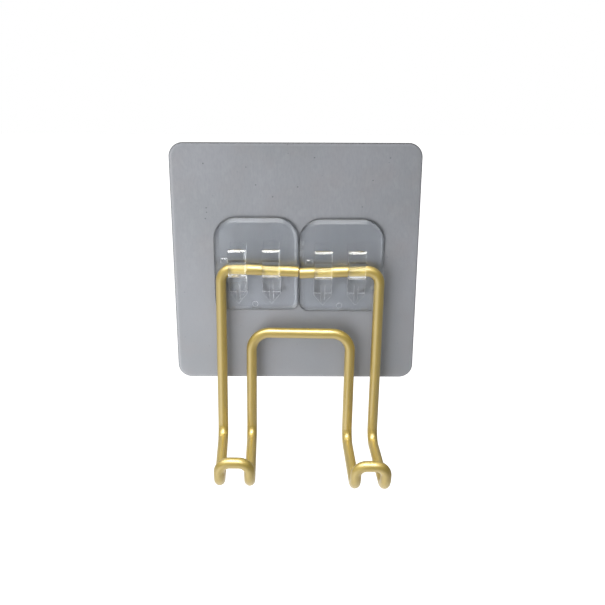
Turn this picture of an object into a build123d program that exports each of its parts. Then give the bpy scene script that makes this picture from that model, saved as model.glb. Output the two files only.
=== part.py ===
from build123d import *
import math
import os

os.makedirs("parts", exist_ok=True)

# Adhesive hook for a wall. Millimetres, Z up, the wall is the plane y = 0 and the front faces -Y.
# The origin is the middle of the face that sticks to the wall.

# Square backing sheet and the adhesive layer behind it
sheet_side = 100.0
sheet_corner = 5.6
sheet_thickness = 1.0
sheet_edge_round = 0.5
adhesive_thickness = 0.5

# Clear clip plates, one moulding used twice side by side
clip_width = 34.5
clip_height = 39.2
clip_thickness = 2.0
clip_top_corner = 9.0
clip_bottom_corner = 4.0
clip_bevel_width = 1.8
clip_bevel_depth = 1.2
clip_front_round = 0.4
clip_gap = 0.2
# As stuck on: the pair sits right of the middle, and the right plate is lower than the left one
pair_x = 1.4
pair_z = 0.4
clip_stagger = 0.6

# Claws, two on each plate, heights counted from the middle of the plate
claw_width = 7.2
claw_pitch = 13.6
claw_shift = -0.7
claw_thickness = 2.0
claw_embed = 0.5
claw_seat_z = -4.1
claw_tip_z = 8.1
claw_tip_thickness = 1.7
lead_in_height = 0.8
ridge_depth = 0.3
ridge_height = 2.0
ridge_gap = 1.3
root_length = 6.0
root_step = 0.9
root_edge_round = 0.4
root_corner_round = 1.2
crossbar_diameter = 1.3
crossbar_end_round = 0.3
rib_thickness = 1.5
rib_length = 4.4
gusset_stand = 0.6
claw_side_round = 0.9
claw_heel_round = 1.5
claw_tip_slope = 0.8
claw_tip_round = 0.2
rib_edge_round = 0.5
gusset_edge_round = 0.35

# Small marks on each plate
nub_width = 2.8
nub_height = 2.4
nub_stand = 0.9
nub_gap = 0.6
nub_corner = 0.6
nub_chamfer = 0.35
nub_z = 1.9
gate_diameter = 2.2
gate_stand = 0.3
gate_edge_round = 0.2
gate_from_bottom = 2.9

# Bent wire: 4 mm steel with its coating
wire_diameter = 4.3
bar_clearance = 0.3
seat_clearance = 0.15
end_gap = 0.3
end_chamfer = 0.2
leg_margin = 4.5
hook_width = 11.7
inner_bar_drop = 27.7
leg_length = 76.1
arm_reach = 40.3
lip_length = 10.6
lip_lean = 8.0
top_bend = 5.2
inner_bend = 7.6
leg_bend = 6.0
lip_bend = 6.0
arch_bend = 4.2
# As bent by hand: all of these are zero on a true frame
frame_tilt = 0.7
bar_slide = 1.3
seam_shift = -0.5
left_sag = 1.0
right_sag = 1.6
inner_slide = 0.7
leg_uneven = 0.75
reach_uneven = 0.7
left_yaw = 2.4
right_yaw = 2.6

# Depths from the wall
wire_radius = wire_diameter / 2
sheet_front_depth = adhesive_thickness + sheet_thickness
plate_front_depth = sheet_front_depth + clip_thickness
slot_radius = wire_radius + bar_clearance
plate_y = -plate_front_depth
bar_y = plate_y - slot_radius
claw_inner_y = bar_y - slot_radius
claw_front_y = claw_inner_y - claw_thickness

# Places of the two plates, and of the claws on each of them
clip_offset = (clip_width + clip_gap) / 2
left_clip_x = pair_x - clip_offset
right_clip_x = pair_x + clip_offset
left_clip_z = pair_z + clip_stagger / 2
right_clip_z = pair_z - clip_stagger / 2
first_claw_x = claw_shift - claw_pitch / 2
second_claw_x = claw_shift + claw_pitch / 2

# Adhesive layer: the whole back of the sheet
with BuildPart() as adhesive_layer:
    with BuildSketch(Plane.XZ):
        RectangleRounded(sheet_side, sheet_side, sheet_corner)
    extrude(amount=adhesive_thickness)
adhesive_layer.part.label = "adhesive_layer"

# Backing sheet with a softened front edge
with BuildPart() as backing_sheet:
    with BuildSketch(Plane.XZ.offset(adhesive_thickness)):
        RectangleRounded(sheet_side, sheet_side, sheet_corner)
    extrude(amount=sheet_thickness)
    fillet(backing_sheet.faces().sort_by(Axis.Y)[0].edges(), sheet_edge_round)
backing_sheet.part.label = "backing_sheet"

# Heights and depths of one claw and its rib in side view
slot_z = claw_seat_z + slot_radius
under_z = claw_seat_z - claw_thickness
ridge_z = slot_z + wire_radius + ridge_gap + ridge_height / 2
tip_inner_y = claw_front_y + claw_tip_thickness
heel_y = claw_front_y + claw_heel_round
heel_z = under_z + claw_heel_round
root_z = under_z - root_length
foot_z = root_z - rib_length
embed_y = plate_y + claw_embed
root_front_y = plate_y - root_step
rib_top_y = (claw_front_y + bar_y) / 2

# Thin rib under a claw, down to its foot on the plate
with BuildPart() as rib:
    with BuildSketch(Plane.YZ):
        Polygon(
            (embed_y, claw_seat_z - claw_thickness / 2),
            (embed_y, foot_z),
            (plate_y, foot_z),
            (rib_top_y, claw_seat_z),
            align=None,
        )
    extrude(amount=rib_thickness / 2, both=True)
    fillet(rib.edges().filter_by(Axis.X, reverse=True).group_by(Axis.Y)[0], rib_edge_round)

# Low pointed gusset that joins the root of a claw to the foot of its rib
with BuildPart() as gusset:
    with BuildSketch(Plane.XZ.offset(plate_front_depth)):
        Polygon(
            (-claw_width / 2, root_z + gusset_stand),
            (-claw_width / 2, root_z),
            (0, foot_z),
            (claw_width / 2, root_z),
            (claw_width / 2, root_z + gusset_stand),
            align=None,
        )
    extrude(amount=gusset_stand)
    fillet(gusset.faces().sort_by(Axis.Y)[0].edges(), gusset_edge_round)

# Half-round bar across the foot of a claw's root
with BuildPart() as crossbar:
    with BuildSketch(Plane.YZ):
        with Locations((root_front_y, root_z + crossbar_diameter / 2)):
            Circle(crossbar_diameter / 2)
    extrude(amount=claw_width / 2, both=True)
    fillet(crossbar.faces().filter_by(Axis.X).edges(), crossbar_end_round)

# One claw: its slot opens upwards, and the back wall of the slot is the plate itself
with BuildPart() as claw:
    with BuildSketch(Plane.YZ):
        with BuildLine():
            Line((embed_y, slot_z), (plate_y, slot_z))
            RadiusArc((plate_y, slot_z), (bar_y, claw_seat_z), slot_radius)
            RadiusArc((bar_y, claw_seat_z), (claw_inner_y, slot_z), slot_radius)
            Polyline(
                (claw_inner_y, slot_z),
                (claw_inner_y, ridge_z - ridge_height / 2),
                (claw_inner_y + ridge_depth, ridge_z),
                (claw_inner_y, ridge_z + ridge_height / 2),
                (claw_inner_y, claw_tip_z - lead_in_height),
                (tip_inner_y, claw_tip_z),
                (claw_front_y + claw_tip_slope, claw_tip_z),
                (claw_front_y, claw_tip_z - claw_tip_slope),
                (claw_front_y, heel_z),
            )
            RadiusArc((claw_front_y, heel_z), (heel_y, under_z), -claw_heel_round)
            Polyline(
                (heel_y, under_z),
                (bar_y, under_z),
                (root_front_y, root_z),
                (embed_y, root_z),
                (embed_y, slot_z),
            )
        make_face()
    extrude(amount=claw_width / 2, both=True)
    # ease the corner under the claw, then round the front and the root down their two sides
    corner = claw.edges().filter_by(Axis.X).sort_by_distance((0, bar_y, under_z))[0]
    fillet(corner, root_corner_round)
    side_edges = claw.faces().filter_by(Axis.X).edges()
    front_sides = side_edges.filter_by(Axis.Z).group_by(Axis.Y)[0]
    low_sides = side_edges.filter_by_position(Axis.Z, root_z, claw_seat_z, inclusive=(False, False))
    root_sides = low_sides.filter_by_position(Axis.Y, claw_front_y, plate_y, inclusive=(False, False))
    fillet(front_sides + root_sides, claw_side_round)
    # round the end of the tip and the step of the root
    fillet(claw.faces().sort_by(Axis.Z)[-1].edges(), claw_tip_round)
    fillet(claw.edges().filter_by(Axis.X).group_by(Axis.Z)[0].sort_by(Axis.Y)[0], root_edge_round)
    add(crossbar.part)
    add(rib.part)
    add(gusset.part)

# One clip plate about its own middle, bevelled all round, with its two claws and marks
bevel_start = plate_front_depth - clip_bevel_depth
front_width = clip_width - 2 * clip_bevel_width
front_height = clip_height - 2 * clip_bevel_width
nub_x = first_claw_x - claw_width / 2 - nub_gap - nub_width / 2
gate_z = gate_from_bottom - clip_height / 2

with BuildPart() as clip:
    with BuildSketch(Plane.XZ.offset(sheet_front_depth)) as clip_outline:
        Rectangle(clip_width, clip_height)
        fillet(clip_outline.vertices().group_by(Axis.Y)[-1], clip_top_corner)
        fillet(clip_outline.vertices().group_by(Axis.Y)[0], clip_bottom_corner)
    extrude(amount=clip_thickness - clip_bevel_depth)
    with BuildSketch(Plane.XZ.offset(bevel_start)) as bevel_back:
        Rectangle(clip_width, clip_height)
        fillet(bevel_back.vertices().group_by(Axis.Y)[-1], clip_top_corner)
        fillet(bevel_back.vertices().group_by(Axis.Y)[0], clip_bottom_corner)
    with BuildSketch(Plane.XZ.offset(plate_front_depth)) as bevel_front:
        Rectangle(front_width, front_height)
        fillet(bevel_front.vertices().group_by(Axis.Y)[-1], clip_top_corner - clip_bevel_width)
        fillet(bevel_front.vertices().group_by(Axis.Y)[0], clip_bottom_corner - clip_bevel_width)
    loft()
    fillet(clip.faces().sort_by(Axis.Y)[0].edges(), clip_front_round)
    # round gate mark between the feet of the ribs
    with BuildSketch(Plane.XZ.offset(plate_front_depth)):
        with Locations((claw_shift, gate_z)):
            Circle(gate_diameter / 2)
    extrude(amount=gate_stand)
    fillet(clip.faces().sort_by(Axis.Y)[0].edges(), gate_edge_round)
    # nub beside the first claw
    with BuildSketch(Plane.XZ.offset(plate_front_depth)):
        with Locations((nub_x, nub_z)):
            RectangleRounded(nub_width, nub_height, nub_corner)
    extrude(amount=nub_stand)
    chamfer(clip.faces().sort_by(Axis.Y)[0].edges(), nub_chamfer)
    with Locations((first_claw_x, 0, 0), (second_claw_x, 0, 0)):
        add(claw.part)

with BuildPart() as left_clip:
    with Locations((left_clip_x, 0, left_clip_z)):
        add(clip.part)
left_clip.part.label = "left_clip"

with BuildPart() as right_clip:
    with Locations((right_clip_x, 0, right_clip_z)):
        add(clip.part)
right_clip.part.label = "right_clip"

# Wire frame, first about the middle of its own top bar
claws_left = left_clip_x + first_claw_x - claw_width / 2
claws_right = right_clip_x + second_claw_x + claw_width / 2
outer_half = (claws_right - claws_left) / 2 + leg_margin
inner_half = outer_half - hook_width
frame_x = (claws_left + claws_right) / 2 + bar_slide
tilt = math.radians(frame_tilt)


def bar_height(x):
    """Height of the top bar's centre at frame place x: it sags to the seam and falls at its corners."""
    sag = left_sag if x < seam_shift else right_sag
    corner = max(0.0, abs(x) - (outer_half - top_bend))
    fall = top_bend - math.sqrt(max(0.0, top_bend**2 - corner**2))
    return -sag * (1 - abs(x) / outer_half) - fall - x * math.sin(tilt)


def lift_needed(clip_x, clip_z, claw_x):
    """Height of the frame at which the bar just clears the seat of one claw."""
    seat = clip_z + claw_seat_z + seat_clearance + wire_radius
    places = [clip_x + claw_x - claw_width / 2, clip_x + claw_x + claw_width / 2]
    return max(seat - bar_height(x - frame_x) for x in places)


# The bar rests on the claw it meets first
frame_z = max(
    lift_needed(left_clip_x, left_clip_z, first_claw_x),
    lift_needed(left_clip_x, left_clip_z, second_claw_x),
    lift_needed(right_clip_x, right_clip_z, first_claw_x),
    lift_needed(right_clip_x, right_clip_z, second_claw_x),
)


def placed(x, y, z):
    """A frame point turned by the tilt and moved to its place."""
    turned_x = x * math.cos(tilt) + z * math.sin(tilt)
    turned_z = z * math.cos(tilt) - x * math.sin(tilt)
    return (frame_x + turned_x, y, frame_z + turned_z)


def hook(middle, leg, reach, yaw):
    """Four corners of one hook: out along an arm, up the lip, over the arch and back down."""
    lean = math.radians(lip_lean)
    swing = math.tan(math.radians(yaw))
    arm_y = bar_y - reach
    arm_x = middle + reach * swing
    lip_y = arm_y - lip_length * math.sin(lean)
    lip_z = lip_length * math.cos(lean) - leg
    lip_x = arm_x + lip_length * math.sin(lean) * swing
    half = hook_width / 2
    return [
        placed(arm_x - half, arm_y, -leg),
        placed(lip_x - half, lip_y, lip_z),
        placed(lip_x + half, lip_y, lip_z),
        placed(arm_x + half, arm_y, -leg),
    ]


left_inner = inner_slide - inner_half
right_inner = inner_slide + inner_half
left_leg = leg_length - leg_uneven
right_leg = leg_length + leg_uneven
left_reach = arm_reach + reach_uneven
right_reach = arm_reach - reach_uneven
left_hook = hook((left_inner - outer_half) / 2, left_leg, left_reach, left_yaw)
right_hook = hook((right_inner + outer_half) / 2, right_leg, right_reach, right_yaw)

corners = [
    placed(seam_shift - end_gap / 2, bar_y, -left_sag),
    placed(-outer_half, bar_y, 0),
    placed(-outer_half, bar_y, -left_leg),
    *left_hook,
    placed(left_inner, bar_y, -left_leg),
    placed(left_inner, bar_y, -inner_bar_drop),
    placed(right_inner, bar_y, -inner_bar_drop),
    placed(right_inner, bar_y, -right_leg),
    *right_hook,
    placed(outer_half, bar_y, -right_leg),
    placed(outer_half, bar_y, 0),
    placed(seam_shift + end_gap / 2, bar_y, -right_sag),
]
side_bends = [top_bend, leg_bend, lip_bend, arch_bend, arch_bend, lip_bend, leg_bend, inner_bend]
bends = side_bends + side_bends[::-1]

with BuildPart() as wire_hook:
    with BuildLine() as wire_path:
        FilletPolyline(*corners, radius=bends)
    with BuildSketch(Plane(origin=wire_path.line @ 0, z_dir=wire_path.line % 0)):
        Circle(wire_radius)
    sweep()
    chamfer(wire_hook.faces().filter_by(GeomType.PLANE).edges(), end_chamfer)
wire_hook.part.label = "wire_hook"

export_step(adhesive_layer.part, "parts/adhesive_layer.step")
export_step(backing_sheet.part, "parts/backing_sheet.step")
export_step(left_clip.part, "parts/left_clip.step")
export_step(right_clip.part, "parts/right_clip.step")
export_step(wire_hook.part, "parts/wire_hook.step")
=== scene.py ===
import math

import bpy
import numpy as np
from mathutils import Matrix, Vector


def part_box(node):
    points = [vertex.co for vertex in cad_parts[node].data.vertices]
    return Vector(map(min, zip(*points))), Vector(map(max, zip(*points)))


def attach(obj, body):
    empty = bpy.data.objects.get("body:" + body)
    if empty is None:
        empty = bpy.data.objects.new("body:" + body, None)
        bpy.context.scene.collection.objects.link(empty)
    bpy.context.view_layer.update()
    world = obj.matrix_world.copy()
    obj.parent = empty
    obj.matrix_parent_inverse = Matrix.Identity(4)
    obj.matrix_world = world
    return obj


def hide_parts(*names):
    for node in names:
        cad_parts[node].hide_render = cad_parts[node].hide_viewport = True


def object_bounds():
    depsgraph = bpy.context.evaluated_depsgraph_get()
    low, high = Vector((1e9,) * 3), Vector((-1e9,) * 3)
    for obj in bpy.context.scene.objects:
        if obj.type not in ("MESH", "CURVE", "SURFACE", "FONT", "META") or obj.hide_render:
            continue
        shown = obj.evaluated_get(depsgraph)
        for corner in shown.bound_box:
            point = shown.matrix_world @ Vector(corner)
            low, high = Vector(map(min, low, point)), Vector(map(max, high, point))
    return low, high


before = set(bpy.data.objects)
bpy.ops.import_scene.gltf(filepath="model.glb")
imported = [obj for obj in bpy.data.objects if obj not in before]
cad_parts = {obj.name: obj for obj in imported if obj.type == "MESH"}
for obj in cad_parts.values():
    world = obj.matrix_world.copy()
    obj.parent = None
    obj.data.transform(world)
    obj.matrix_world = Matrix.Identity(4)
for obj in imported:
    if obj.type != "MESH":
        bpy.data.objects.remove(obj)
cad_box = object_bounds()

# Looks of an adhesive wall hook: a grey sheet, two clear clips and a gold wire frame.
# Metres, Z up, the wall is the plane y = 0 and the front faces -Y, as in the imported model.
MM = 0.001
ORIGIN = (0.0, 0.0, 0.0)
WHITE = (1, 1, 1, 1)

# Backing sheet: a thin film whose rim falls away a little before its rounded edge.
# A film of air parts it from the clips, and its front waves by two sines.
SHEET_CORNER = 5.6 * MM
SHEET_EDGE_ROUND = 0.45 * MM
SHEET_RIM_WIDTH = 1.5 * MM
SHEET_RIM_FALL = 0.16 * MM
SHEET_AIR = 0.05 * MM
SHEET_WAVE = 0.012 * MM
WAVE_RATE_X, WAVE_START_X = 95, 0.6
WAVE_RATE_Z, WAVE_START_Z = 70, 1.1

# Rings of the sheet's mesh along its section, and how small the innermost ones are
FRONT_RINGS = 30
RIM_RINGS = 7
EDGE_RINGS = 8
BACK_RINGS = 6
INNERMOST = 0.02
CORNER_STEPS = 14
SIDE_STEPS = 30

# Screen colours
SHEET_GREY = (143, 146, 151)
SHEET_PALE = (149, 151, 157)
SHEET_WARM = (148, 145, 147)
STREAK_GREY = (124, 127, 131)
MOTTLE_GREY = (166, 169, 174)
SPECK_GREY = (84, 88, 92)
RIM_GREY = (172, 175, 180)
CUT_EDGE_GREY = (88, 89, 92)
ADHESIVE_GREY = (154, 156, 158)
ADHESIVE_PALE = (168, 170, 172)
BUBBLE_GREY = (196, 198, 200)
PLASTIC_TINT = (250, 252, 254)
GOLD = (204, 177, 62)
GOLD_PALE = (210, 183, 68)

# Where in a noise a mark starts and is full, and how far a full mark covers the ground
NOISE_RANGE = (0.3, 0.7)
CALM_RANGE = (0.2, 0.8)
WARM_RANGE, WARM_COVER = (0.45, 0.75), 0.35
STREAK_RANGE, STREAK_COVER = (0.42, 0.66), 0.16
MOTTLE_RANGE, MOTTLE_COVER = (0.5, 0.7), 0.14
SPECK_CORE, SPECK_COVER = 0.4, 0.75
BUBBLE_COVER = 0.5

# Heights between which the sheet's marks grow from their low share to all of it
MARK_HEIGHTS = (-20 * MM, 20 * MM)
LOW_MARKS = 0.25

# Distances in from the outline at which a rim starts and is full
CUT_EDGE_WIDTH = 0.4 * MM
RIM_SPAN, RIM_COVER = (SHEET_RIM_WIDTH, 0.6 * SHEET_RIM_WIDTH), 0.25
CUT_SPAN = (CUT_EDGE_WIDTH, 0.4 * CUT_EDGE_WIDTH)
ADHESIVE_CUT_SPAN = (2 * CUT_EDGE_WIDTH, 0.5 * CUT_EDGE_WIDTH)

# Roughness of each finish, over its noise
SHEET_ROUGHNESS = (0.36, 0.48)
ADHESIVE_ROUGHNESS = (0.32, 0.42)
PLASTIC_ROUGHNESS = (0.01, 0.05)
GOLD_ROUGHNESS = (0.56, 0.64)

# Clear plastic, frosted along its edges
PLASTIC_IOR = 1.49
FROST_REACH = 0.4 * MM
FROST_SAMPLES = 6
FROST_TURN = (0.995, 0.85)
FROST_ROUGHNESS = 0.7

# Lacquer over the gold
LACQUER_ROUGHNESS = 0.3
LACQUER_IOR = 2.4

# The photograph's camera
PHOTO_PX = 605
FOCAL_PX = 846.4
SENSOR = 36.0
CAMERA_SPOT = Vector((2.58, -333.96, 101.21)) * MM
CAMERA_ELEVATION = 19.43
CAMERA_AZIMUTH = -0.06
CAMERA_ROLL = 0.21
NEAREST_SEEN = 10 * MM

# Room light. The spans are parts of a direction of length 1: its height, or how far right it points.
ROOM_LIGHT = 0.42
ROOM_SHARE = 0.52
OVERHEAD_LIGHT = 0.2
MIRRORED_HEIGHTS = (0.3, 0.7)
LIT_HEIGHTS = (0.1, 0.6)
RIGHT_SHADE = 0.4
SHADE_SPAN = (0.75, -0.1)

# Floor. The spans are places on it along X or along Y, and FADE_REACH is a distance from its middle.
FLOOR_DROP = 0.45
FLOOR_SIDE = 8.0
FLOOR_COLOUR = (0.86, 0.86, 0.86, 1)
FLOOR_ROUGHNESS = 0.9
FADE_REACH, FADE_GLOW = (0.2, 1.2), (0.35, 1.0)
# The floor's gleam and pool are painted glow: emission of the floor that only mirror rays from the camera
# see
PAINTED_FLOOR_GLEAM = 0.55
GLEAM_SPAN_X = (0.8, -0.1)
FRONT_SPAN_Y, FRONT_GLEAM = (-1.1, -0.4), 0.1
LEFT_SPAN_X = (-0.3, -0.75)
PAINTED_POOL_GLOW = 0.62
POOL_RIGHT_X = (-0.08, -0.4)
POOL_LEFT_X = (-1.6, -0.9)
POOL_BACK_Y = (-0.2, -0.6)


def add_node(tree, kind, sockets=None, **settings):
    """A new node with its settings. sockets maps an input's name or number to its value, or to the
    output that feeds it."""
    made = tree.nodes.new(kind)
    for name, value in settings.items():
        setattr(made, name, value)
    for name, value in (sockets or {}).items():
        if isinstance(value, bpy.types.NodeSocket):
            tree.links.new(value, made.inputs[name])
        else:
            made.inputs[name].default_value = value
    return made


def compute(tree, operation, first, second=0.0):
    """The output of one Math node."""
    return add_node(tree, "ShaderNodeMath", {0: first, 1: second}, operation=operation).outputs[0]


def product(tree, first, *others):
    """All the values multiplied."""
    for other in others:
        first = compute(tree, "MULTIPLY", first, other)
    return first


def remap(tree, value, given, wanted=(0.0, 1.0)):
    """A value eased from the given range to the wanted one and held at its ends."""
    sockets = {0: value, 1: given[0], 2: given[1], 3: wanted[0], 4: wanted[1]}
    return add_node(tree, "ShaderNodeMapRange", sockets, interpolation_type="SMOOTHSTEP").outputs[0]


def between(tree, share, first, second):
    """A value on the straight way from first, at share 0, to second, at share 1."""
    return add_node(tree, "ShaderNodeMapRange", {0: share, 3: first, 4: second}).outputs[0]


def blend(tree, share, first, second):
    """A colour on the way from first, at share 0, to second, at share 1."""
    return add_node(tree, "ShaderNodeMix", {0: share, 6: first, 7: second}, data_type="RGBA").outputs[2]


def srgb(colour):
    """A screen colour, 0 to 255, as the linear colour that a shader takes: a small share of 255 is divided
    by 12.92, and any other is raised by 0.055, divided by 1.055 and taken to the power of 2.4."""
    screen = np.array(colour) / 255
    linear = np.where(screen <= 0.04045, screen / 12.92, ((screen + 0.055) / 1.055) ** 2.4)
    return (*linear.tolist(), 1.0)


def marked(tree, ground, marks):
    """A ground colour with marks over it, the last on top. Each is a screen colour and its mask."""
    for colour, mask in marks:
        ground = blend(tree, mask, ground, srgb(colour))
    return ground


def new_group(name, inputs, outputs):
    """An empty shader group that takes a Vector and named values and gives named values, with the sockets
    it reads from and the sockets it writes to."""
    tree = bpy.data.node_groups.new(name, "ShaderNodeTree")
    tree.interface.new_socket("Vector", in_out="INPUT", socket_type="NodeSocketVector")
    for label, value in inputs.items():
        socket = tree.interface.new_socket(label, in_out="INPUT", socket_type="NodeSocketFloat")
        socket.default_value = value
    for label in outputs:
        tree.interface.new_socket(label, in_out="OUTPUT", socket_type="NodeSocketFloat")
    given = tree.nodes.new("NodeGroupInput").outputs
    put = tree.nodes.new("NodeGroupOutput").inputs
    return tree, given, put


def grain_group():
    """Cloudy variation: a broad noise, and a fine one that is drawn out along Z by Stretch. Mixed blends
    the two by Fine Share."""
    tree, given, put = new_group(
        "surface_grain",
        {"Broad Scale": 30.0, "Fine Scale": 600.0, "Stretch": 1.0, "Fine Share": 0.3},
        ["Broad", "Fine", "Mixed"],
    )
    spot = given["Vector"]
    squeeze = {0: 1.0, 1: 1.0, 2: compute(tree, "DIVIDE", 1.0, given["Stretch"])}
    squeeze = add_node(tree, "ShaderNodeCombineXYZ", squeeze).outputs[0]
    drawn_out = add_node(tree, "ShaderNodeVectorMath", {0: spot, 1: squeeze}, operation="MULTIPLY")
    broad = {"Vector": spot, "Scale": given["Broad Scale"], "Detail": 2.0}
    broad = add_node(tree, "ShaderNodeTexNoise", broad).outputs[0]
    fine = {"Vector": drawn_out.outputs[0], "Scale": given["Fine Scale"], "Detail": 3.0}
    fine = add_node(tree, "ShaderNodeTexNoise", fine).outputs[0]
    mixed = add_node(tree, "ShaderNodeMix", {0: given["Fine Share"], 2: broad, 3: fine}).outputs[0]
    tree.links.new(broad, put["Broad"])
    tree.links.new(fine, put["Fine"])
    tree.links.new(mixed, put["Mixed"])
    return tree


def specks_group():
    """Round specks: full near a cell's own point and gone at Size from it, in the cells whose random value
    is under Share."""
    tree, given, put = new_group("specks", {"Scale": 150.0, "Size": 0.1, "Share": 0.1}, ["Mask"])
    cells = {"Vector": given["Vector"], "Scale": given["Scale"]}
    cells = add_node(tree, "ShaderNodeTexVoronoi", cells).outputs
    pick = add_node(tree, "ShaderNodeSeparateColor", {0: cells["Color"]}).outputs[0]
    core = compute(tree, "MULTIPLY", given["Size"], SPECK_CORE)
    near = remap(tree, cells["Distance"], (given["Size"], core))
    kept = compute(tree, "LESS_THAN", pick, given["Share"])
    tree.links.new(compute(tree, "MULTIPLY", near, kept), put["Mask"])
    return tree


def edge_distance_group():
    """How far a point lies inside the outline of a square with round corners, seen along Y. Along X and
    along Z it takes how far the point is past the start of the corner. From the corner's radius it takes
    away the length of the two, each at least 0, and then the larger of the two, at most 0."""
    tree, given, put = new_group("edge_distance", {"Half Side": 0.05, "Corner": 0.005}, ["Distance"])
    parts = add_node(tree, "ShaderNodeSeparateXYZ", {0: given["Vector"]}).outputs
    straight = compute(tree, "SUBTRACT", given["Half Side"], given["Corner"])
    past = []
    for axis in ("X", "Z"):
        reach = compute(tree, "ABSOLUTE", parts[axis])
        past.append(compute(tree, "SUBTRACT", reach, straight))
    outside = [compute(tree, "MAXIMUM", value, 0.0) for value in past]
    squares = [compute(tree, "MULTIPLY", value, value) for value in outside]
    corner_reach = compute(tree, "SQRT", compute(tree, "ADD", *squares))
    inside = compute(tree, "MINIMUM", compute(tree, "MAXIMUM", *past), 0.0)
    beyond = compute(tree, "ADD", corner_reach, inside)
    tree.links.new(compute(tree, "SUBTRACT", given["Corner"], beyond), put["Distance"])
    return tree


def new_material(name):
    """A material with its node tree, its Principled shader and the Object coordinates that its patterns
    read."""
    material = bpy.data.materials.new(name)
    material.use_nodes = True
    tree = material.node_tree
    shader = tree.nodes["Principled BSDF"]
    spot = tree.nodes.new("ShaderNodeTexCoord").outputs["Object"]
    return material, tree, shader, spot


def place(tree, group, sockets):
    """A shared group placed in a material with its own values."""
    return add_node(tree, "ShaderNodeGroup", sockets, node_tree=group).outputs


def roughen(tree, shader, height, strength, distance):
    """Bumps the shader's normal by a height, whose full swing is distance."""
    bump = add_node(tree, "ShaderNodeBump", {"Height": height, "Strength": strength, "Distance": distance})
    tree.links.new(bump.outputs[0], shader.inputs["Normal"])


def sheet_film(grain, specks, edge_distance, half_side):
    """Grey satin film: clouded grey with warmer clouds, then fine upright streaks, pale mottling and dark
    specks, which all thin out downwards, then a paler rim and a darker cut edge."""
    material, tree, shader, spot = new_material("sheet_film")
    cloud = place(tree, grain, {"Vector": spot, "Broad Scale": 28.0, "Fine Scale": 1300.0, "Stretch": 3.0})
    tint = place(tree, grain, {"Vector": spot, "Broad Scale": 75.0, "Fine Scale": 420.0, "Stretch": 1.6})
    dots = place(tree, specks, {"Vector": spot, "Scale": 300.0, "Size": 0.12, "Share": 0.3})
    edge = place(tree, edge_distance, {"Vector": spot, "Half Side": half_side, "Corner": SHEET_CORNER})
    height = add_node(tree, "ShaderNodeSeparateXYZ", {0: spot}).outputs["Z"]
    upper = remap(tree, height, MARK_HEIGHTS, (LOW_MARKS, 1.0))
    grey = blend(tree, remap(tree, cloud["Broad"], NOISE_RANGE), srgb(SHEET_GREY), srgb(SHEET_PALE))
    grey = marked(tree, grey, [
        (SHEET_WARM, remap(tree, tint["Broad"], WARM_RANGE, (0.0, WARM_COVER))),
        (STREAK_GREY, product(tree, remap(tree, cloud["Fine"], STREAK_RANGE), upper, STREAK_COVER)),
        (MOTTLE_GREY, product(tree, remap(tree, tint["Fine"], MOTTLE_RANGE), upper, MOTTLE_COVER)),
        (SPECK_GREY, product(tree, dots["Mask"], upper, SPECK_COVER)),
        (RIM_GREY, remap(tree, edge["Distance"], RIM_SPAN, (0.0, RIM_COVER))),
        (CUT_EDGE_GREY, remap(tree, edge["Distance"], CUT_SPAN)),
    ])
    tree.links.new(grey, shader.inputs["Base Color"])
    roughness = remap(tree, cloud["Mixed"], NOISE_RANGE, SHEET_ROUGHNESS)
    tree.links.new(roughness, shader.inputs["Roughness"])
    roughen(tree, shader, tint["Fine"], strength=0.3, distance=0.03 * MM)
    return material


def adhesive_film(grain, specks, edge_distance, half_side):
    """Tacky grey film: calm clouds, tiny trapped bubbles and a darker cut edge."""
    material, tree, shader, spot = new_material("adhesive_film")
    cloud = place(tree, grain, {"Vector": spot, "Broad Scale": 45.0, "Fine Scale": 700.0})
    bubbles = place(tree, specks, {"Vector": spot, "Scale": 520.0, "Size": 0.22, "Share": 0.45})
    edge = place(tree, edge_distance, {"Vector": spot, "Half Side": half_side, "Corner": SHEET_CORNER})
    grey = blend(tree, remap(tree, cloud["Mixed"], CALM_RANGE), srgb(ADHESIVE_GREY), srgb(ADHESIVE_PALE))
    grey = marked(tree, grey, [
        (BUBBLE_GREY, product(tree, bubbles["Mask"], BUBBLE_COVER)),
        (CUT_EDGE_GREY, remap(tree, edge["Distance"], ADHESIVE_CUT_SPAN)),
    ])
    tree.links.new(grey, shader.inputs["Base Color"])
    roughness = remap(tree, cloud["Broad"], CALM_RANGE, ADHESIVE_ROUGHNESS)
    tree.links.new(roughness, shader.inputs["Roughness"])
    roughen(tree, shader, bubbles["Mask"], strength=0.4, distance=0.03 * MM)
    return material


def clear_moulding(grain):
    """Clear moulded plastic with faint flow ripples. It is frosted at its edges, where the face's own
    normal and the normal eased over the edge turn away from each other."""
    material, tree, shader, spot = new_material("clear_moulding")
    ripple = {"Vector": spot, "Broad Scale": 130.0, "Fine Scale": 900.0, "Fine Share": 0.15}
    ripple = place(tree, grain, ripple)
    shader.inputs["Base Color"].default_value = srgb(PLASTIC_TINT)
    shader.inputs["Transmission Weight"].default_value = 1.0
    shader.inputs["IOR"].default_value = PLASTIC_IOR
    own = add_node(tree, "ShaderNodeNewGeometry").outputs["Normal"]
    eased = add_node(tree, "ShaderNodeBevel", {"Radius": FROST_REACH}, samples=FROST_SAMPLES).outputs[0]
    turned = add_node(tree, "ShaderNodeVectorMath", {0: own, 1: eased}, operation="DOT_PRODUCT")
    frost = product(tree, remap(tree, turned.outputs["Value"], FROST_TURN), FROST_ROUGHNESS)
    polish = remap(tree, ripple["Mixed"], NOISE_RANGE, PLASTIC_ROUGHNESS)
    tree.links.new(compute(tree, "ADD", polish, frost), shader.inputs["Roughness"])
    roughen(tree, shader, ripple["Mixed"], strength=0.15, distance=0.06 * MM)
    return material


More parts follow.
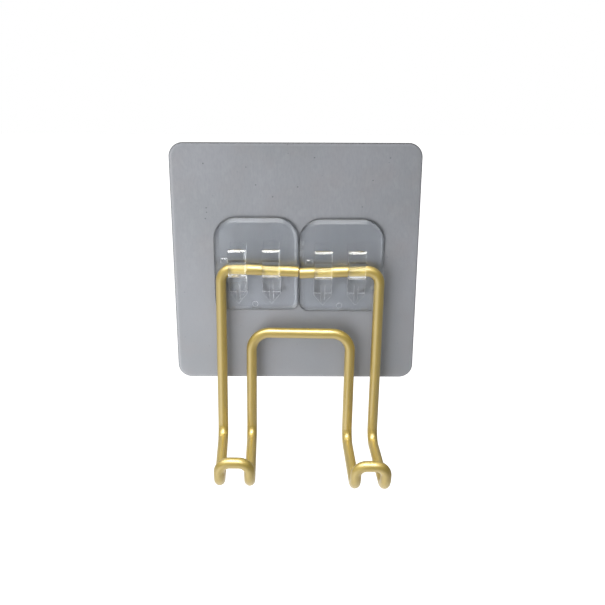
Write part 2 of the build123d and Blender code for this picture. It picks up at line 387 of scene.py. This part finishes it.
def gold_coating(grain):
    """Satin gold under clear lacquer: even metal with a faint orange-peel skin and a slightly uneven
    sheen."""
    material, tree, shader, spot = new_material("gold_coating")
    skin = {"Vector": spot, "Broad Scale": 90.0, "Fine Scale": 2600.0, "Fine Share": 0.5}
    skin = place(tree, grain, skin)
    gold = blend(tree, remap(tree, skin["Broad"], NOISE_RANGE), srgb(GOLD), srgb(GOLD_PALE))
    tree.links.new(gold, shader.inputs["Base Color"])
    shader.inputs["Metallic"].default_value = 1.0
    roughness = remap(tree, skin["Mixed"], NOISE_RANGE, GOLD_ROUGHNESS)
    tree.links.new(roughness, shader.inputs["Roughness"])
    shader.inputs["Coat Weight"].default_value = 1.0
    shader.inputs["Coat Roughness"].default_value = LACQUER_ROUGHNESS
    shader.inputs["Coat IOR"].default_value = LACQUER_IOR
    roughen(tree, shader, skin["Fine"], strength=0.2, distance=0.02 * MM)
    return material


def rounded_square(half_side, corner):
    """Outline points and outward normals: each corner is a quarter circle about its own centre, turned by
    its angle, and each side is spaced evenly from one corner's end to the next one's start. Columns are X
    and Z."""
    points, normals = [], []
    for turn in range(4):
        angle = np.radians(90 * turn + np.linspace(0, 90, CORNER_STEPS + 1))
        arc = np.stack([np.cos(angle), np.sin(angle)], 1)
        middle = math.radians(90 * turn + 45)
        centre = (half_side - corner) * math.sqrt(2) * np.array([math.cos(middle), math.sin(middle)])
        points.append(centre + corner * arc)
        normals.append(arc)
        share = np.linspace(0, 1, SIDE_STEPS + 1)[1:-1, None]
        across = arc[-1]
        along = np.array([-across[1], across[0]])
        start = centre + corner * across
        points.append(start + share * 2 * (half_side - corner) * along)
        normals.append(np.repeat(across[None], len(share), 0))
    return np.concatenate(points), np.concatenate(normals)


def closed_rings(rings):
    """Vertices and faces of a skin through a stack of rings (ring, step round, XYZ), with a point closing
    each end."""
    count, around = rings.shape[:2]
    vertices = np.concatenate([rings.reshape(-1, 3), rings[[0, -1]].mean(1)])
    row, step = np.meshgrid(np.arange(count - 1), np.arange(around), indexing="ij")
    after = (step + 1) % around
    quads = np.stack([row * around + step, row * around + after, (row + 1) * around + after,
                      (row + 1) * around + step], -1).reshape(-1, 4)
    step = np.arange(around)
    after = (step + 1) % around
    first, last = count * around, count * around + 1
    base = (count - 1) * around
    caps = [np.stack([np.full(around, first), after, step], 1),
            np.stack([np.full(around, last), base + step, base + after], 1)]
    return vertices, quads.tolist() + np.concatenate(caps).tolist()


def make_piece(name, vertices, faces, material, node):
    """A smooth mesh piece at the origin that rides on the one body and stands for a CAD node."""
    mesh = bpy.data.meshes.new(name)
    mesh.from_pydata(vertices.tolist(), [], faces)
    mesh.polygons.foreach_set("use_smooth", np.ones(len(mesh.polygons), bool))
    mesh.materials.append(material)
    mesh.update()
    piece = bpy.data.objects.new(name, mesh)
    bpy.context.scene.collection.objects.link(piece)
    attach(piece, "root")
    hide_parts(node)


def backing_film(material):
    """The sheet as rings round its outline. Its section runs from the middle of the front to the rim, which
    falls away by the square of the share of its width, round the edge by a quarter circle, straight to the
    back and in to the middle again. The front also waves by the product of two slow sines."""
    low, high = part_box("backing_sheet")
    half_side = (high.x - low.x) / 2
    front, back = low.y + SHEET_AIR, high.y
    outline, normals = rounded_square(half_side, SHEET_CORNER)

    def ring(inset, depth, scale=1.0):
        """The outline, moved in, set at a depth and scaled about the middle."""
        flat = (outline - inset * normals) * scale
        return np.stack([flat[:, 0], np.full(len(flat), depth), flat[:, 1]], 1)

    rim_share = np.linspace(1, 0, RIM_RINGS)
    rim_inset = SHEET_EDGE_ROUND + rim_share * (SHEET_RIM_WIDTH - SHEET_EDGE_ROUND)
    rim_depth = front + SHEET_RIM_FALL * (1 - rim_share) ** 2
    turn = np.radians(np.linspace(0, 90, EDGE_RINGS))[1:]
    edge_inset = SHEET_EDGE_ROUND * (1 - np.sin(turn))
    edge_depth = front + SHEET_RIM_FALL + SHEET_EDGE_ROUND * (1 - np.cos(turn))
    rings = [ring(SHEET_RIM_WIDTH, front, scale) for scale in np.linspace(INNERMOST, 1, FRONT_RINGS)[:-1]]
    rings += [ring(inset, depth) for inset, depth in zip(rim_inset, rim_depth)]
    rings += [ring(inset, depth) for inset, depth in zip(edge_inset, edge_depth)]
    rings += [ring(0.0, back)]
    rings += [ring(0.0, back, scale) for scale in np.linspace(1, INNERMOST, BACK_RINGS)[1:]]
    rings = np.stack(rings)
    wave = np.sin(rings[..., 0] * WAVE_RATE_X + WAVE_START_X)
    wave = wave * np.sin(rings[..., 2] * WAVE_RATE_Z + WAVE_START_Z)
    on_front = rings[..., 1] < front + SHEET_RIM_FALL
    rings[..., 1] += SHEET_WAVE * wave * on_front
    vertices, faces = closed_rings(rings)
    make_piece("backing_film", vertices, faces, material, "backing_sheet")


def aim_camera():
    """The photograph's camera: its place and turn, and its lens for the photograph's square frame."""
    azimuth, elevation, roll = (math.radians(a) for a in (CAMERA_AZIMUTH, CAMERA_ELEVATION, CAMERA_ROLL))
    back = Vector((
        math.sin(azimuth) * math.cos(elevation),
        -math.cos(azimuth) * math.cos(elevation),
        math.sin(elevation),
    ))
    right = Vector((math.cos(azimuth), math.sin(azimuth), 0))
    up = back.cross(right)
    side = math.cos(roll) * right + math.sin(roll) * up
    top = math.cos(roll) * up - math.sin(roll) * right
    data = bpy.data.cameras.new("photo_camera")
    data.sensor_width = SENSOR
    data.lens = SENSOR * FOCAL_PX / PHOTO_PX
    data.clip_start = NEAREST_SEEN
    camera = bpy.data.objects.new("photo_camera", data)
    camera.matrix_world = Matrix.Translation(CAMERA_SPOT) @ Matrix((side, top, back)).transposed().to_4x4()
    bpy.context.scene.collection.objects.link(camera)
    bpy.context.scene.camera = camera


def none_yet(tree, depth):
    """1 for a ray that has not met such a surface yet, by its count of them, and 0 for any other."""
    return compute(tree, "LESS_THAN", depth, 0.5)


def straight_from_camera(tree, rays):
    """1 for a ray that has met only mirrors and clear plastic since the camera, and 0 for light on its way
    to a surface."""
    return none_yet(tree, rays["Diffuse Depth"])


def softbox(name, spot, size, power, target=ORIGIN, mirrored=True):
    """A soft rectangular lamp at spot that faces target; the wire and the clips mirror it or not."""
    data = bpy.data.lights.new(name, "AREA")
    data.shape = "RECTANGLE"
    data.size, data.size_y = size
    data.energy = power
    lamp = bpy.data.objects.new(name, data)
    lamp.location = spot
    lamp.rotation_euler = (Vector(target) - Vector(spot)).to_track_quat("-Z", "Y").to_euler()
    lamp.visible_camera = False
    lamp.visible_glossy = mirrored
    bpy.context.scene.collection.objects.link(lamp)
    return lamp


def glint_softbox(name, spot, size, power):
    """A lamp that only the wire and the clips mirror, and that gives the sheet no light, past the clips
    either."""
    lamp = softbox(name, spot, size, power)
    lamp.visible_diffuse = False
    lamp.data.use_nodes = True
    tree = lamp.data.node_tree
    rays = tree.nodes.new("ShaderNodeLightPath").outputs
    tree.links.new(straight_from_camera(tree, rays), tree.nodes["Emission"].inputs["Strength"])


def light_studio():
    """Soft lamps. Overhead and front light the whole, upper whitens the claws' tips and glint the wire's
    top sides, back lights the side that faces the wall, and table and left soften the shadows on the
    sheet."""
    softbox("overhead_softbox", (-0.3, -0.45, 1.05), size=(1.0, 1.0), power=1.6, target=(-0.3, -0.45, 0.0))
    glint_softbox("upper_softbox", (-0.08, -0.355, 1.175), size=(0.54, 0.15), power=4.3)
    softbox("front_softbox", (-0.12, -0.8, 0.95), size=(1.4, 0.5), power=2.2)
    glint_softbox("glint_softbox", (-0.35, -0.48, 1.1), size=(1.9, 0.7), power=8.5)
    softbox("back_softbox", (0.15, 0.75, 0.3), size=(0.8, 0.6), power=3.0, mirrored=False)
    softbox("table_bounce", (-0.06, -0.2, -0.26), size=(0.5, 0.24), power=0.42,
            target=(-0.02, 0.0, -0.04), mirrored=False)
    softbox("left_softbox", (-0.185, -0.2, -0.075), size=(0.28, 0.34), power=0.9,
            target=(0.0, 0.0, -0.06), mirrored=False)


def white_world():
    """Room light, dim at the right. The wire and the clips mirror it white overhead, and it lights the
    surfaces by a share of itself and more evenly. The camera sees plain white, through the clips too."""
    world = bpy.data.worlds.new("white_studio")
    bpy.context.scene.world = world
    world.use_nodes = True
    tree = world.node_tree
    tree.nodes.clear()
    direction = tree.nodes.new("ShaderNodeTexCoord").outputs["Generated"]
    parts = add_node(tree, "ShaderNodeSeparateXYZ", {0: direction}).outputs
    rays = tree.nodes.new("ShaderNodeLightPath").outputs
    straight = straight_from_camera(tree, rays)
    mirrored = remap(tree, parts["Z"], MIRRORED_HEIGHTS, (ROOM_LIGHT, 1.0))
    lighting = remap(tree, parts["Z"], LIT_HEIGHTS, (ROOM_LIGHT, ROOM_LIGHT + OVERHEAD_LIGHT))
    room = between(tree, straight, product(tree, lighting, ROOM_SHARE), mirrored)
    room = product(tree, room, remap(tree, parts["X"], SHADE_SPAN, (RIGHT_SHADE, 1.0)))
    through = product(tree, rays["Is Transmission Ray"], straight, none_yet(tree, rays["Glossy Depth"]))
    seen = compute(tree, "MAXIMUM", rays["Is Camera Ray"], through)
    strength = between(tree, seen, room, 1.0)
    light = add_node(tree, "ShaderNodeBackground", {"Color": WHITE, "Strength": strength})
    out = tree.nodes.new("ShaderNodeOutputWorld")
    tree.links.new(light.outputs[0], out.inputs["Surface"])


def pale_floor():
    """A pale floor well below the part, which takes its shadow and fades to the white of the backdrop
    further out. In the wire's mirror it glows brighter by painted emission, though it is no lamp: a painted
    gleam that is weak far in front, except at the left, and gone at the right, and a painted pool of glow
    in front at the left."""
    material, tree, shader, spot = new_material("pale_floor")
    shader.inputs["Base Color"].default_value = FLOOR_COLOUR
    shader.inputs["Roughness"].default_value = FLOOR_ROUGHNESS
    reach = add_node(tree, "ShaderNodeVectorMath", {0: spot}, operation="LENGTH").outputs["Value"]
    parts = add_node(tree, "ShaderNodeSeparateXYZ", {0: spot}).outputs
    # painted glow in the floor's emission, seen only in mirrors: a gleam, and a pool at the front left
    under = remap(tree, parts["Y"], FRONT_SPAN_Y, (FRONT_GLEAM, 1.0))
    painted_gleam_area = compute(tree, "MAXIMUM", under, remap(tree, parts["X"], LEFT_SPAN_X))
    gleam = product(tree, painted_gleam_area, remap(tree, parts["X"], GLEAM_SPAN_X, (0.0, PAINTED_FLOOR_GLEAM)))
    pool = product(
        tree,
        remap(tree, parts["X"], POOL_RIGHT_X),
        remap(tree, parts["X"], POOL_LEFT_X),
        remap(tree, parts["Y"], POOL_BACK_Y),
        PAINTED_POOL_GLOW,
    )
    gleam = compute(tree, "ADD", gleam, pool)
    rays = tree.nodes.new("ShaderNodeLightPath").outputs
    outside = none_yet(tree, rays["Transmission Depth"])
    mirrored = product(tree, rays["Is Glossy Ray"], straight_from_camera(tree, rays), outside, gleam)
    seen = product(tree, rays["Is Camera Ray"], remap(tree, reach, FADE_REACH, FADE_GLOW))
    shader.inputs["Emission Color"].default_value = WHITE
    tree.links.new(compute(tree, "MAXIMUM", seen, mirrored), shader.inputs["Emission Strength"])
    half, depth = FLOOR_SIDE / 2, cad_box[0].z - FLOOR_DROP
    corners = [(-half, -half, depth), (half, -half, depth), (half, half, depth), (-half, half, depth)]
    mesh = bpy.data.meshes.new("pale_floor")
    mesh.from_pydata(corners, [], [(0, 1, 2, 3)])
    mesh.materials.append(material)
    floor = bpy.data.objects.new("pale_floor", mesh)
    bpy.context.scene.collection.objects.link(floor)


def dress(node, material):
    """Gives a CAD node its finish."""
    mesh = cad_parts[node].data
    mesh.materials.clear()
    mesh.materials.append(material)


bpy.context.scene.view_settings.view_transform = "Standard"
# light that has bent through the clear clips stays sharp
bpy.context.scene.cycles.blur_glossy = 0.0
aim_camera()
light_studio()
white_world()
pale_floor()

grain = grain_group()
specks = specks_group()
edge_distance = edge_distance_group()
half_side = (cad_box[1].x - cad_box[0].x) / 2

backing_film(sheet_film(grain, specks, edge_distance, half_side))
dress("adhesive_layer", adhesive_film(grain, specks, edge_distance, half_side))
clear = clear_moulding(grain)
dress("left_clip", clear)
dress("right_clip", clear)
dress("wire_hook", gold_coating(grain))
